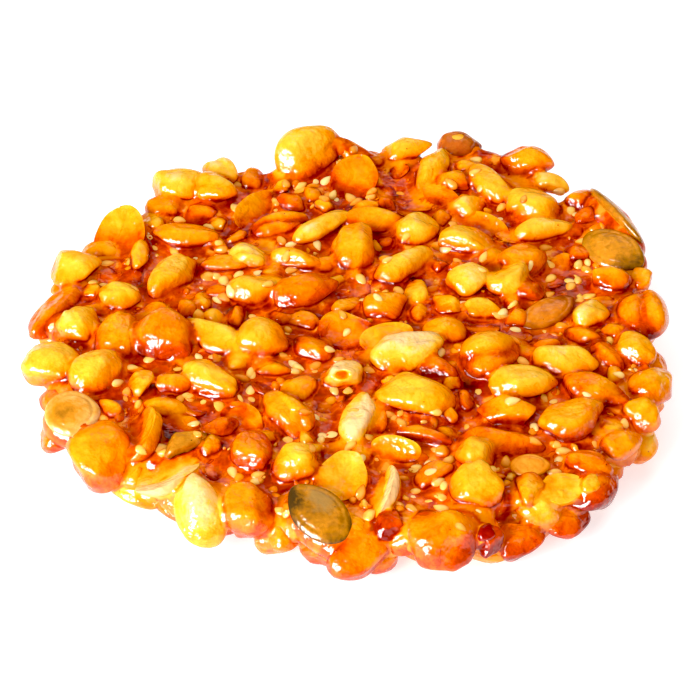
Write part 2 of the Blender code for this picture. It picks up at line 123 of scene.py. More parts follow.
# Kernels, and halves that lie on their flat face.
KERNELS = (
    (-8.0, 56.3, 13.6, 15.3, 11.5, 30, 10, 35),
    (23.5, 61.0, 11.5, 9.0, 8.0, 10, 0, 0),
    (37.5, 55.0, 12.5, 11.0, 8.0, -15, 0, 0),
    (42.0, 50.0, 10.5, 9.0, 5.5, -30, 0, 0),
    (30.0, 47.0, 12.0, 14.0, 8.5, -55, 5, 0),
    (39.0, 39.9, 11.5, 14.0, 10.5, -5, 0, 12),
    (18.0, 52.5, 12.0, 12.0, 6.5, 75, 8, 0),
    (22.5, 48.0, 12.5, 8.0, 5.5, -10, 0, 0),
    (48.5, 42.5, 11.5, 7.0, 6.0, 30, 0, 0),
    (53.0, 15.5, 12.0, 8.5, 7.0, -12, 0, 0),
    (41.0, 32.5, 11.5, 12.0, 6.5, 12, 0, 0),
    (25.0, 40.5, 12.0, 8.0, 6.5, 15, 0, 0),
    (56.7, -26.8, 5.0, 8.0, 7.0, 60, 0, 0),
    (35.8, 21.5, 12.0, 11.0, 8.0, 25, 0, 0),
    (14.5, 31.7, 12.0, 9.5, 8.5, 0, 0, 0),
    (11.6, 20.2, 12.0, 14.0, 8.0, 38, 0, 0),
    (1.5, 25.2, 12.5, 12.5, 9.5, 80, 10, 0),
    (-5.2, 32.7, 12.0, 14.0, 6.0, 35, 0, 0),
    (-14.0, 33.7, 12.0, 12.5, 6.5, 18, 0, 0),
    (-10.7, 22.0, 12.0, 10.0, 5.5, -15, 0, 0),
    (-19.9, 22.8, 12.0, 8.0, 6.5, -20, 0, 0),
    (-35.8, 46.5, 12.5, 12.5, 9.0, -10, 0, 0),
    (-28.3, 44.7, 12.5, 10.0, 8.5, -25, 0, 0),
    (-26.8, 52.5, 12.0, 10.0, 6.0, -60, 10, 30),
    (-33.5, 29.5, 12.0, 14.0, 6.5, -4, 0, 0),
    (-42.5, 24.0, 12.0, 8.5, 4.0, 85, 0, 0),
    (-35.0, 17.0, 12.5, 15.0, 8.0, 62, 0, 0),
    (-25.0, 21.0, 11.5, 10.0, 4.5, -5, 0, 0),
    (-46.0, 10.0, 12.0, 8.0, 7.5, -10, 0, 0),
    (-53.2, 1.0, 12.0, 9.5, 8.5, -60, 0, 0),
    (-45.5, -4.0, 12.0, 15.0, 8.5, 80, 15, 0),
    (-36.3, -3.9, 12.5, 12.5, 11.5, -40, 0, 0),
    (-27.0, -2.8, 12.0, 14.5, 8.5, -35, 0, 0),
    (-49.0, -14.0, 12.0, 12.0, 11.0, 55, 0, 0),
    (-57.6, -10.2, 10.5, 12.0, 10.5, -30, 0, 0),
    (-58.8, 7.3, 10.0, 17.5, 8.5, 62, 0, 0),
    (-33.6, -16.7, 12.0, 9.0, 5.0, 5, 0, 0),
    (-26.1, -16.3, 12.0, 13.0, 8.5, -28, 0, 0),
    (-46.8, -35.6, 9.0, 14.5, 12.8, -60, 0, 0),
    (-28.0, -49.1, 9.0, 14.0, 9.0, 110, 40, 0),
    (-18.4, -49.8, 10.0, 12.5, 10.5, 80, 20, 0),
    (-18.2, -37.2, 12.0, 9.5, 8.0, 80, 15, 0),
    (-9.5, -40.6, 12.5, 10.0, 9.0, 0, 0, 0),
    (17.9, -56.4, 9.0, 14.0, 12.5, -75, -15, 0),
    (2.8, -57.8, 6.0, 14.5, 9.5, 52, 0, 0),
    (2.0, -27.4, 12.5, 14.0, 6.0, 75, 0, 0),
    (5.5, -27.4, 11.0, 10.0, 5.0, 80, 0, 0),
    (-11.1, -25.9, 12.0, 15.0, 8.0, -62, 0, 0),
    (24.5, -46.5, 12.5, 11.5, 10.0, 80, 0, 0),
    (24.6, -38.0, 12.5, 8.5, 7.5, 60, 0, 0),
    (-1.0, -14.0, 12.0, 9.0, 8.0, -90, 40, 0),
    (31.8, -53.3, 4.5, 10.0, 7.5, 20, 0, 0),
    (11.5, -7.8, 12.5, 14.5, 10.0, 22, 0, 0),
    (13.2, -21.2, 12.5, 16.0, 10.5, -18, 0, 0),
    (-17.0, -4.4, 12.5, 10.0, 10.5, -20, 0, 0),
    (7.5, 7.0, 11.5, 10.0, 7.5, 20, 0, 0),
    (-9.0, 11.5, 12.0, 14.0, 8.0, 20, 0, 0),
    (-18.0, 12.5, 12.0, 13.0, 8.0, 18, 0, 0),
    (19.0, -1.0, 11.5, 9.0, 7.5, 0, 0, 0),
    (27.6, -8.7, 12.5, 13.2, 11.5, 28, 0, 0),
    (33.5, -17.5, 12.5, 14.0, 8.0, 5, 0, 0),
    (43.0, -9.4, 12.0, 12.5, 8.0, -8, 0, 0),
    (51.5, -8.5, 12.0, 10.0, 5.0, -62, 0, 0),
    (48.3, -19.8, 12.0, 14.0, 8.0, -25, 0, 0),
    (43.0, -28.0, 12.5, 14.2, 9.5, 42, 0, 0),
    (57.2, -7.1, 12.0, 10.0, 8.0, -40, 0, 0),
    (59.2, 5.2, 11.0, 14.5, 10.5, 100, 0, -25),
    (59.5, -16.6, 10.5, 10.5, 9.0, 60, 0, 0),
    (57.0, -24.0, 10.5, 9.0, 7.5, 70, 0, 0),
    (48.5, 4.5, 12.0, 7.5, 7.5, 0, 0, 0),
    (27.0, 6.5, 11.5, 8.0, 5.5, -5, 0, 0),
    (52.0, -33.8, 11.5, 8.0, 6.0, 30, 0, 0),
    (29.0, -33.5, 10.8, 16.0, 8.0, -5, 0, 0),
    (45.8, -44.9, 11.5, 5.0, 3.5, 70, 0, 0),
    (46.0, -39.5, 11.0, 9.0, 6.0, -20, 0, 0),
    (46.0, -43.5, 8.5, 13.0, 9.0, 40, 0, 0),
    (41.5, -47.5, 4.5, 9.0, 7.0, 30, 0, 0),
    (-39.5, -39.0, 4.5, 11.0, 7.0, -35, 0, 0),
    (-54.0, -24.5, 7.0, 12.0, 9.0, 15, 0, 0),
    (54.5, 34.0, 6.5, 13.0, 10.0, -60, 0, 0),
)

# Split halves whose flat face shows.
HALVES = (
    (1.5, 49.5, 12.5, 11.5, 10.0, 75, 25, 0),
    (20.0, 43.5, 12.0, 10.0, 5.0, -35, 0, 20),
    (28.0, 34.5, 11.0, 13.0, 6.0, -35, 0, 30),
    (-19.3, 38.8, 12.0, 13.0, 7.0, 60, 0, 35),
    (-47.0, 30.2, 12.0, 13.5, 11.0, 80, 25, -10),
    (-39.5, -31.0, 12.5, 15.0, 9.0, 83, 0, -50),
    (-20.0, -26.5, 11.5, 11.0, 6.0, -45, 0, 20),
    (-34.6, -41.9, 10.5, 15.0, 9.5, 36, 0, -25),
    (-0.8, -43.6, 12.3, 12.5, 9.5, 78, 10, 0),
    (7.0, -47.0, 12.0, 13.0, 7.0, 82, 0, -60),
    (9.0, -36.0, 12.0, 10.0, 6.0, -12, 0, 40),
    (-0.5, 0.0, 12.0, 11.5, 10.5, 15, 0, 12),
    (40.1, -45.9, 11.5, 8.5, 7.0, 20, 0, 15),
    (8.0, -2.4, 11.8, 11.0, 8.5, 12, 0, 10),
)

# Broken pieces.
CHUNKS = (
    (12.5, 60.0, 12.0, 11.0, 6.0, 10, 0, 0),
    (24.2, 27.7, 12.0, 11.0, 8.0, -5, 0, 0),
    (24.5, 15.0, 12.5, 9.0, 8.0, 45, 0, 0),
    (36.5, 12.0, 12.0, 6.0, 5.5, 0, 0, 0),
    (5.0, 35.2, 12.0, 11.0, 6.5, -5, 0, 0),
    (-38.0, 41.0, 11.0, 8.0, 7.0, 0, 0, 0),
    (-31.0, 38.0, 11.0, 8.0, 5.0, 0, 0, 0),
    (-56.0, 19.5, 11.5, 11.0, 9.0, 0, 0, 0),
    (-40.0, -17.3, 12.5, 6.5, 5.0, 80, 0, 0),
    (-24.5, -29.5, 12.0, 8.0, 4.0, 15, 0, 0),
    (14.5, -32.0, 12.0, 10.0, 4.5, -18, 0, 0),
    (17.0, -11.5, 11.5, 10.0, 5.0, -38, 0, 0),
    (31.4, -25.5, 12.5, 12.0, 8.0, -10, 0, 0),
    (34.0, -46.5, 11.5, 7.5, 5.5, 90, 0, 0),
    (26.0, -56.5, 8.0, 8.0, 5.5, 80, 40, 0),
    (8.5, -55.0, 9.5, 7.0, 7.0, 0, 0, 0),
    (49.5, 36.0, 12.5, 5.0, 4.0, 60, 0, 0),
    (59.5, 17.0, 11.0, 6.0, 5.0, 0, 0, 0),
    (32.6, 15.2, 12.5, 9.5, 8.5, 35, 0, 0),
)

PUMPKIN_SEEDS = {
    "pumpkin_seed_front": (-5.3, -53.5, 11.8, 15.0, 10.0, 132, 14, -10),
    "pumpkin_seed_left": (-53.0, -25.2, 11.6, 10.8, 10.5, 10, 0, 15),
    "pumpkin_seed_edge": (55.8, 35.6, 12.8, 19.5, 9.0, -62, 0, -61),
    "pumpkin_seed_right": (54.6, 25.0, 12.2, 15.0, 9.5, -42, 0, 15),
    "pumpkin_seed_inner": (40.3, 6.5, 11.0, 14.0, 7.5, 42, 0, 0),
    "pumpkin_seed_small": (34.5, -40.8, 12.2, 7.8, 5.5, 3, 0, 10),
}

# Nuts of the tables above that look unlike the others, by their x and y.
# How deep their colour is, from 0, pale, to 1.
TONES = {
    (-40.0, -17.3): 0.12, (-56.0, 19.5): 0.12, (-28.0, -49.1): -0.1, (24.5, 15.0): 0.0, (24.2, 27.7): 0.1,
    (32.6, 15.2): 0.05, (-1.0, -14.0): -0.05, (11.5, -7.8): -0.05, (2.0, -27.4): -0.15, (-9.5, -40.6): 0.2,
    (-0.8, -43.6): 0.02, (-46.0, 10.0): 0.1, (49.5, 36.0): 0.5, (-26.8, 52.5): 0.05, (-35.8, 46.5): 0.08,
    (-28.3, 44.7): 0.12, (-47.0, 30.2): 0.22, (-8.0, 56.3): 0.12, (1.5, 49.5): 0.3, (-18.4, -49.8): 0.42,
    (-39.5, -31.0): 0.22, (8.5, -55.0): 0.75, (29.0, -33.5): 0.45, (59.2, 5.2): 0.4, (46.0, -43.5): 0.65,
    (-58.8, 7.3): 0.35, (48.3, -19.8): 0.38, (13.2, -21.2): 0.12, (27.6, -8.7): 0.3, (43.0, -9.4): 0.1,
    (59.5, -16.6): 0.32, (57.0, -24.0): 0.25, (26.0, -56.5): 0.7, (-11.1, -25.9): 0.25, (40.1, -45.9): 0.02,
    (24.6, -38.0): 0.2, (24.5, -46.5): 0.2, (17.9, -56.4): 0.42, (2.8, -57.8): 0.42, (23.5, 61.0): 0.4,
    (12.5, 60.0): 0.1, (-5.2, 32.7): 0.0, (31.4, -25.5): 0.28, (35.8, 21.5): 0.42, (8.0, -2.4): 0.08,
    (-34.6, -41.9): -0.25, (-35.0, 17.0): 0.15, (14.5, 31.7): 0.1, (1.5, 25.2): 0.25, (11.6, 20.2): 0.15,
    (-46.8, -35.6): 0.4, (-20.0, -26.5): 0.3, (39.0, 39.9): 0.15, (31.8, -53.3): 0.6, (56.7, -26.8): 0.15,
    (53.0, 15.5): 0.35, (-18.2, -37.2): 0.42, (-17.0, -4.4): 0.25, (7.5, 7.0): 0.35, (-9.0, 11.5): 0.42,
    (51.5, -8.5): 0.4, (52.0, -33.8): 0.3, (46.0, -39.5): 0.45, (-0.5, 0.0): 0.3, (36.5, 12.0): 0.5,
    (-38.0, 41.0): 0.3, (-31.0, 38.0): 0.42, (-24.5, -29.5): 0.45, (14.5, -32.0): 0.45, (17.0, -11.5): 0.45,
    (34.0, -46.5): 0.25, (-54.0, -24.5): 0.35, (41.0, 32.5): 0.0, (-19.9, 22.8): -0.1, (-27.0, -2.8): 0.12,
    (48.5, 4.5): 0.0, (27.0, 6.5): 0.1, (-39.5, -39.0): -0.05, (7.0, -47.0): -0.3, (9.0, -36.0): 0.05,
    (30.0, 47.0): 0.17, (-10.7, 22.0): 0.15, (57.2, -7.1): 0.22, (18.0, 52.5): 0.1, (22.5, 48.0): 0.35,
    (-33.5, 29.5): 0.3, (-42.5, 24.0): 0.1, (-36.3, -3.9): 0.45, (-33.6, -16.7): 0.35, (5.5, -27.4): 0.3,
    (41.5, -47.5): 0.5, (5.0, 35.2): 0.25, (25.0, 40.5): 0.1, (48.5, 42.5): 0.35, (19.0, -1.0): 0.3,
    (45.8, -44.9): 0.25,
}
# Kernels whose seam stands open, and how far round it lies, in degrees from the left side.
SEAM_WIDTH = 0.22           # of a kernel's half size
SEAMS = {(59.2, 5.2): 108, (27.6, -8.7): 130, (-14.0, 33.7): 110}
OPEN_ENDED = (-1.0, -14.0)
BUBBLE_PLACES = ((8.5, -56.0), (16.0, 56.0), (3.0, 37.0), (-43.0, -26.0), (27.0, -55.0))
# Places between the nuts where the caramel is coloured darker: x, y, radius.
DARKENED_POOLS = (
    (-18.9, 48.8, 3.0), (12.3, 17.4, 3.0), (43.5, 14.5, 4.0), (23.5, -16.3, 3.0), (-14.2, -41.8, 2.5),
    (-12.2, -48.7, 3.5), (-34.3, -31.0, 3.5), (-0.3, -19.3, 1.8), (30.5, -43.5, 2.0), (24.5, -56.4, 4.0),
    (-22.0, 5.6, 3.0), (-43.5, 14.2, 2.5), (1.8, 42.9, 3.0), (7.5, 27.3, 2.5), (9.2, -56.5, 3.0),
    (-54.0, 13.0, 4.0), (-32.1, -20.5, 3.0), (-9.3, -16.0, 2.5), (32.0, -20.5, 2.5),
)
# Lumps of caramel alone: x, y, z of the middle, length, width, heading, pitch, roll.
LUMPS = ((1.5, 58.6, 12.6, 13.0, 5.5, -12, -28, 0), (30.2, 57.6, 10.6, 12.0, 6.5, -25, 0, 0))
SKINNED = (23.5, 61.0)
RED_FRUIT = (25.8, -56.8, 9.6, 4.6, 3.6, 60, 0, 0)
SEED_FRAGMENT = (-31.4, -35.5, 13.0, 7.5, 5.0, 35, 10, 10)

# Sesame seeds that lie apart: x, y.
SESAME_PLACES = (
    (37, 43), (-1, 4.5), (32, -22), (-3.5, -6.5), (28, 47), (27, 52), (49, 28), (49, 21), (46.5, 38.5), (27, 19),
    (32, 36), (-13, 48.5), (-10, 47), (-5, 43), (0.5, 43), (5, 44), (-15, 42), (6, 10), (3, 9), (-6, -27), (-5, -33),
    (0.5, -35), (2.5, -48), (16, -42), (17, -45), (12, -49), (31, -54), (41, -36.5), (36.5, -40.5), (47, -34),
    (-47, -27), (43, 3), (53, -14), (56, -11), (37, 7), (31, 5), (33, 8), (-6, -60), (-27, 17), (-25, 15), (21, -57),
)
# Where they lie close together: x, y, radius, number.
SESAME_CLUSTERS = (
    (0, 44, 9, 20), (-25, 15, 6, 12), (-33, -25, 5, 10), (15, -43, 6, 12), (30, 5, 6, 12), (45, 22, 7, 14),
)


def rotation(heading, pitch, roll):
    """3 x 3 matrix: roll about X, then pitch, which lifts the +X end, then heading about Z."""
    turn = (
        Matrix.Rotation(math.radians(heading), 3, "Z")
        @ Matrix.Rotation(math.radians(-pitch), 3, "Y")
        @ Matrix.Rotation(math.radians(roll), 3, "X")
    )
    return np.array(turn)


def outline(angle):
    """Distance of the uneven edge from the middle in that direction."""
    waves = (height * math.cos(lobes * (angle - math.radians(turn))) for lobes, turn, height in OUTLINE_WAVES)
    return MEAN_RADIUS + sum(waves)


def ring(rng, mean, level, spacing):
    """Nuts at about that height, side by side along a ring that follows the outline."""
    length, width = LAYER_NUT
    count = max(1, round(2 * math.pi * mean / spacing))
    start = rng.uniform(0, 2 * math.pi)
    for number in range(count):
        angle = start + 2 * math.pi * number / count
        reach = outline(angle) * mean / MEAN_RADIUS
        size = rng.uniform(*SIZE_RANGE)
        height = level + rng.uniform(-LAYER_UNEVENNESS, LAYER_UNEVENNESS)
        place = (reach * math.cos(angle), reach * math.sin(angle), height)
        yield (*place, length * size, width * size, rng.uniform(0, 180), rng.uniform(-15, 15), 0)


def lower_nuts():
    """The lower layer, in rings from the edge inwards, and the nuts along the side of the rim."""
    rng = random.Random(7)
    mean = MEAN_RADIUS - LAYER_NUT[0] / 2
    while mean > 0:
        yield from ring(rng, mean, BASE_LEVEL, BASE_SPACING)
        mean -= BASE_SPACING
    yield from ring(rng, MEAN_RADIUS - RIM_INSET, RIM_LEVEL, RIM_SPACING)


def footprint(nut):
    """Radius of the circle that a nut about covers, seen from above."""
    return math.sqrt(nut[3] * nut[4]) / 2


def fillers(upper):
    """Small nuts in the gaps that the upper layer leaves."""
    rng = random.Random(11)
    nuts = list(upper)
    for _ in range(FILLER_TRIES):
        angle = rng.uniform(0, 2 * math.pi)
        reach = (outline(angle) - RIM_INSET) * math.sqrt(rng.random())
        length = rng.uniform(*FILLER_LENGTHS)
        width = length * rng.uniform(*FILLER_WIDTHS)
        height = FILLER_LEVEL + rng.uniform(-LAYER_UNEVENNESS, LAYER_UNEVENNESS)
        place = (reach * math.cos(angle), reach * math.sin(angle), height)
        nut = (*place, length, width, rng.uniform(0, 180), rng.uniform(-15, 15), rng.uniform(-20, 20))
        gaps = (
            math.hypot(nut[0] - other[0], nut[1] - other[1]) / (footprint(nut) + footprint(other))
            for other in nuts
        )
        if min(gaps) > CLEARANCE:
            nuts.append(nut)
            yield nut


def bed(seed):
    """The lump of caramel under a pumpkin seed."""
    x, y, z, length, width, *turns = seed
    return (x, y, z - BED_DROP, length * BED_SPREAD, width * BED_SPREAD, *turns)


@functools.cache
def quad_sphere(cuts):
    """Points and faces of a unit sphere: a cube with cuts x cuts squares on a side, blown up."""
    bm = bmesh.new()
    bmesh.ops.create_cube(bm, size=2.0)
    bmesh.ops.subdivide_edges(bm, edges=bm.edges[:], cuts=cuts - 1, use_grid_fill=True)
    bm.verts.ensure_lookup_table()
    points = np.array([vert.co for vert in bm.verts])
    faces = np.array([[vert.index for vert in face.verts] for face in bm.faces])
    bm.free()
    points = np.tan(points * math.pi / 4)
    return points / np.linalg.norm(points, axis=1, keepdims=True), faces


def waves(points, rng, count, low, high):
    """Smooth noise of about -1 to 1: sine waves in random directions, of low to high radians per unit."""
    total = np.zeros(len(points))
    for _ in range(count):
        direction = Vector((rng.gauss(0, 1), rng.gauss(0, 1), rng.gauss(0, 1))).normalized()
        total += np.sin(points @ np.array(direction) * rng.uniform(low, high) + rng.uniform(0, 2 * math.pi))
    return total / math.sqrt(count)


def facets(points, rng, count, nearest, farthest, sharpness=9):
    """Factor that flattens a unit sphere at that many random sides, at a distance from its middle."""
    reach = np.ones(len(points))
    for _ in range(count):
        direction = Vector((rng.gauss(0, 1), rng.gauss(0, 1), rng.gauss(0, 1))).normalized()
        facing = np.clip(points @ np.array(direction), 0, 1)
        reach += (facing / rng.uniform(nearest, farthest)) ** sharpness
    return reach ** (-1 / sharpness)


def open_seam(points, turn):
    """1 along a wide winding seam on a unit sphere, that many degrees round it, and 0 beside it."""
    x, y, z = points.T
    turned = np.arctan2(z, y) - math.radians(turn) - 0.25 * np.sin(2 * x)
    waist = np.sqrt(np.clip(1 - x * x, 0, 1))
    return np.exp(-((np.sin(turned) * waist / SEAM_WIDTH) ** 2)) * (np.cos(turned) > 0)


def kernel(points, rng, seam_turn=None):
    """A whole kernel: an oval that narrows to a blunt tip, with soft ridges along it and a seam."""
    x, y, z = points.T
    angle = np.arctan2(z, y)
    waist = np.sqrt(np.clip(1 - x * x, 0, 1))
    ridges = waist * np.sin(angle * rng.choice((5, 6, 7)) + 1.5 * x + rng.uniform(0, 6))
    seam = np.exp(-(np.sin(angle - rng.uniform(0, math.pi)) * waist / 0.11) ** 2) * rng.choice((0.02, 0.035, 0.06))
    if seam_turn is not None:
        seam = 0.22 * open_seam(points, seam_turn)
    size = 1 + 0.08 * waves(points, rng, 5, 1.5, 3.0) + 0.03 * waves(points, rng, 6, 5.0, 9.0)
    size += 0.03 * ridges - seam * waist
    if seam_turn is None:
        size *= facets(points, rng, 9, 0.66, 0.95, sharpness=16) * 1.05
    shape = points * size[:, None]
    shape[:, 1:] *= (1 - rng.uniform(0.04, 0.2) * x)[:, None]
    shape[:, 0] += rng.uniform(0.0, 0.09) * np.exp((x - 1) / 0.06)
    return shape


def pit(points):
    """1 in the pit at the end of a unit sphere, and 0 outside it."""
    x, y, z = points.T
    return np.exp(-((np.hypot(y, z * 1.3) / 0.34) ** 4)) * (x > 0)


def open_end(points, rng):
    """A kernel whose end has come off, with a pit there."""
    shape = kernel(points, rng)
    shape[:, 0] -= 0.45 * pit(points)
    return shape


def half(points, rng):
    """A split half: flat on its upper side, with a lip, a hollow and a soft crease along it."""
    x, y, z = points.T
    across = np.clip(np.hypot(x, y), 0, 1)
    inside = 1 - across * across
    lip = FACE_LIP * rng.uniform(0.0, 0.6) * np.exp(-(((across - 0.82) / 0.12) ** 2))
    crease = rng.uniform(0.03, 0.2) * np.exp(-(((y + 0.15 * np.sin(3 * x)) / 0.13) ** 2)) * inside
    uneven = 0.09 * waves(points, rng, 6, 2.0, 5.0) * inside
    face = lip - FACE_HOLLOW * rng.uniform(-0.1, 1.2) * inside - crease + uneven
    size = 1 + 0.06 * waves(points, rng, 5, 1.5, 3.0) + 0.025 * waves(points, rng, 6, 5.0, 9.0)
    size *= facets(points, rng, 6, 0.78, 0.98, sharpness=16)
    shape = np.stack((x, y, np.where(z > 0, face, z)), axis=1) * size[:, None]
    shape[:, 1] *= 1 - rng.uniform(0.0, 0.14) * x
    return shape


def chunk(points, rng):
    """A broken piece: a ball with flat fracture faces and rounded edges."""
    size = facets(points, rng, 8, 0.52, 0.85, sharpness=24) * 1.14
    size += 0.025 * waves(points, rng, 6, 3.0, 8.0) + 0.012 * waves(points, rng, 8, 9.0, 16.0)
    return points * size[:, None]


def pumpkin(points, rng):
    """A pumpkin seed: a flat oval that narrows to a blunt tip, with a raised band round its edge."""
    x, y, z = points.T
    across = np.hypot(x, y)
    groove = 1 - 0.16 * np.exp(-(((across - 0.74) / 0.07) ** 2))
    bulge = 1 + 0.05 * waves(points, rng, 5, 2.0, 4.0)
    narrowing = 1 - SEED_NARROWING * np.clip(x, 0, 1) ** 2
    return np.stack((x, y * narrowing, z * groove * bulge), axis=1)


def sesame(points, rng):
    """A sesame seed: a flat drop, rounded at one end and pointed at the other."""
    x, y, z = points.T
    narrowing = 1 - rng.uniform(0.3, 0.45) * x - 0.12 * x * x
    return np.stack((x, y * narrowing, z * narrowing * (1 + 0.06 * np.sin(3 * x + 2 * y))), axis=1)


def placed(nut, thickness, form, cuts, seed):
    """Points and faces of one nut: form gives its shape from the unit sphere."""
    x, y, z, length, width, heading, pitch, roll = nut
    if (x, y) == OPEN_ENDED:
        form = open_end
    if (x, y) in SEAMS:
        form = functools.partial(kernel, seam_turn=SEAMS[x, y])
    points, faces = quad_sphere(cuts)
    shape = form(points, random.Random(seed))
    half_size = np.array((length, width, width * thickness)) / 2
    middle = np.array((x + CENTRE_SHIFT[0], y + CENTRE_SHIFT[1], z))
    shape = shape * half_size @ rotation(heading, pitch, roll).T + middle
    shape[:, 2] = np.maximum(shape[:, 2], UNDERSIDE_FILM)
    return shape, faces


class Joined:
    """Shapes gathered into one mesh, with a number for each point under each attribute's name."""

    def __init__(self):
        self.points = []
        self.faces = []
        self.values = {}
        self.count = 0

    def add(self, points, faces, **values):
        self.points.append(points)
        self.faces.append(faces + self.count)
        self.count += len(points)
        for name, value in values.items():
            self.values.setdefault(name, []).append(np.broadcast_to(value, len(points)))

    def arrays(self):
        return np.concatenate(self.points), np.concatenate(self.faces)

    def make(self, name, finish):
        points, faces = self.arrays()
        values = {key: np.concatenate(parts) for key, parts in self.values.items()}
        return mesh_piece(name, points, faces, values, finish)


def mesh_piece(name, points, faces, values, finish):
    """An object in metres from points in millimetres, smooth, with its attributes and material."""
    mesh = bpy.data.meshes.new(name)
    mesh.from_pydata(points * MM, [], faces)
    mesh.shade_smooth()
    for key, numbers in values.items():
        mesh.attributes.new(key, "FLOAT", "POINT").data.foreach_set("value", numbers.astype(np.float32))
    mesh.materials.append(finish)
    obj = bpy.data.objects.new(name, mesh)
    bpy.context.scene.collection.objects.link(obj)
    return obj


def distances(points, tree):
    """Distance from each point to the nearest surface in the tree."""
    return np.array([tree.find_nearest(point)[3] for point in points])


def heights_over(points, tree):
    """The same distance, less than 0 for a point under the surface."""
    found = []
    for point in points:
        near, normal, _, away = tree.find_nearest(point)
        found.append(away if (Vector(point) - near).dot(normal) > 0 else -away)
    return np.array(found)


# ---------------------------------------------------------------- materials

def srgb(red, green, blue):
    """Linear colour of a display colour of 0 to 255."""
    def linear(value):
        value /= 255
        return value / 12.92 if value <= 0.04045 else ((value + 0.055) / 1.055) ** 2.4
    return (linear(red), linear(green), linear(blue), 1.0)


class Graph:
    """A material's nodes, made one by one and joined by name."""

    def __init__(self, name):
        self.material = bpy.data.materials.new(name)
        self.material.use_nodes = True
        self.tree = self.material.node_tree
        self.shader = self.tree.nodes["Principled BSDF"]

    def node(self, kind, **inputs):
        made = self.tree.nodes.new("ShaderNode" + kind)
        for key, value in inputs.items():
            self.set(made, key.replace("_", " "), value)
        return made

    def set(self, node, key, value):
        socket = node.inputs[int(key)] if key.isdigit() else node.inputs[key]
        if isinstance(value, bpy.types.NodeSocket):
            self.tree.links.new(value, socket)
        else:
            socket.default_value = value

    def attribute(self, name):
        made = self.node("Attribute")
        made.attribute_name = name
        return made.outputs["Fac"]

    def math(self, operation, first, second):
        made = self.tree.nodes.new("ShaderNodeMath")
        made.operation = operation
        self.set(made, "0", first)
        self.set(made, "1", second)
        return made.outputs[0]

    def mix(self, factor, first, second):
        made = self.tree.nodes.new("ShaderNodeMix")
        made.data_type = "RGBA"
        for socket, value in zip(("Factor_Float", "A_Color", "B_Color"), (factor, first, second)):
            self.tree.links.new(value, next(item for item in made.inputs if item.identifier == socket))
        return next(item for item in made.outputs if item.identifier == "Result_Color")

    def colour(self, shown):
        made = self.node("RGB")
        made.outputs[0].default_value = srgb(*shown)
        return made.outputs[0]

    def noise(self, size, detail=2.0, distortion=0.0):
        """Noise whose features are about that many millimetres, from about 0.2 to 0.8."""
        place = self.node("TexCoord").outputs["Object"]
        made = self.node("TexNoise", Vector=place, Scale=1 / (size * MM), Detail=detail, Distortion=distortion)
        return made.outputs["Fac"]

    def ramp(self, factor, stops):
        made = self.node("ValToRGB", Fac=factor)
        made.color_ramp.elements[0].position = stops[0][0]
        made.color_ramp.elements[0].color = srgb(*stops[0][1])
        made.color_ramp.elements[1].position = stops[-1][0]
        made.color_ramp.elements[1].color = srgb(*stops[-1][1])
        for place, colour in stops[1:-1]:
            made.color_ramp.elements.new(place).color = srgb(*colour)
        return made.outputs["Color"]


def specks(graph, spacing, size, share):
    """1 on small dots that lie about spacing millimetres apart, in that share of places, and 0 elsewhere."""
    place = graph.node("TexCoord").outputs["Object"]
    cells = graph.node("TexVoronoi", Vector=place, Scale=1 / (spacing * MM))
    dot = graph.math("LESS_THAN", cells.outputs["Distance"], size / spacing)
    kept = graph.math("LESS_THAN", cells.outputs["Color"], share)
    return graph.math("MULTIPLY", dot, kept)


def veins(graph, size, thin):
    """1 along thin winding lines, falling to 0 beside them."""
    away = graph.math("ABSOLUTE", graph.math("SUBTRACT", graph.noise(size, detail=3.0, distortion=1.0), 0.5), 0.0)
    line = graph.math("SUBTRACT", 1.0, graph.math("MULTIPLY", away, thin))
    return graph.math("MAXIMUM", line, 0.0)


def mottled(graph, tone, mottle):
    """The tone made uneven by noise: mottle gives the size of the patches in millimetres, and how much they differ."""
    for size, amount in mottle:
        patch = graph.math("SUBTRACT", graph.noise(size, detail=3.0, distortion=0.4), 0.5)
        tone = graph.math("ADD", tone, graph.math("MULTIPLY", patch, amount))
    return tone


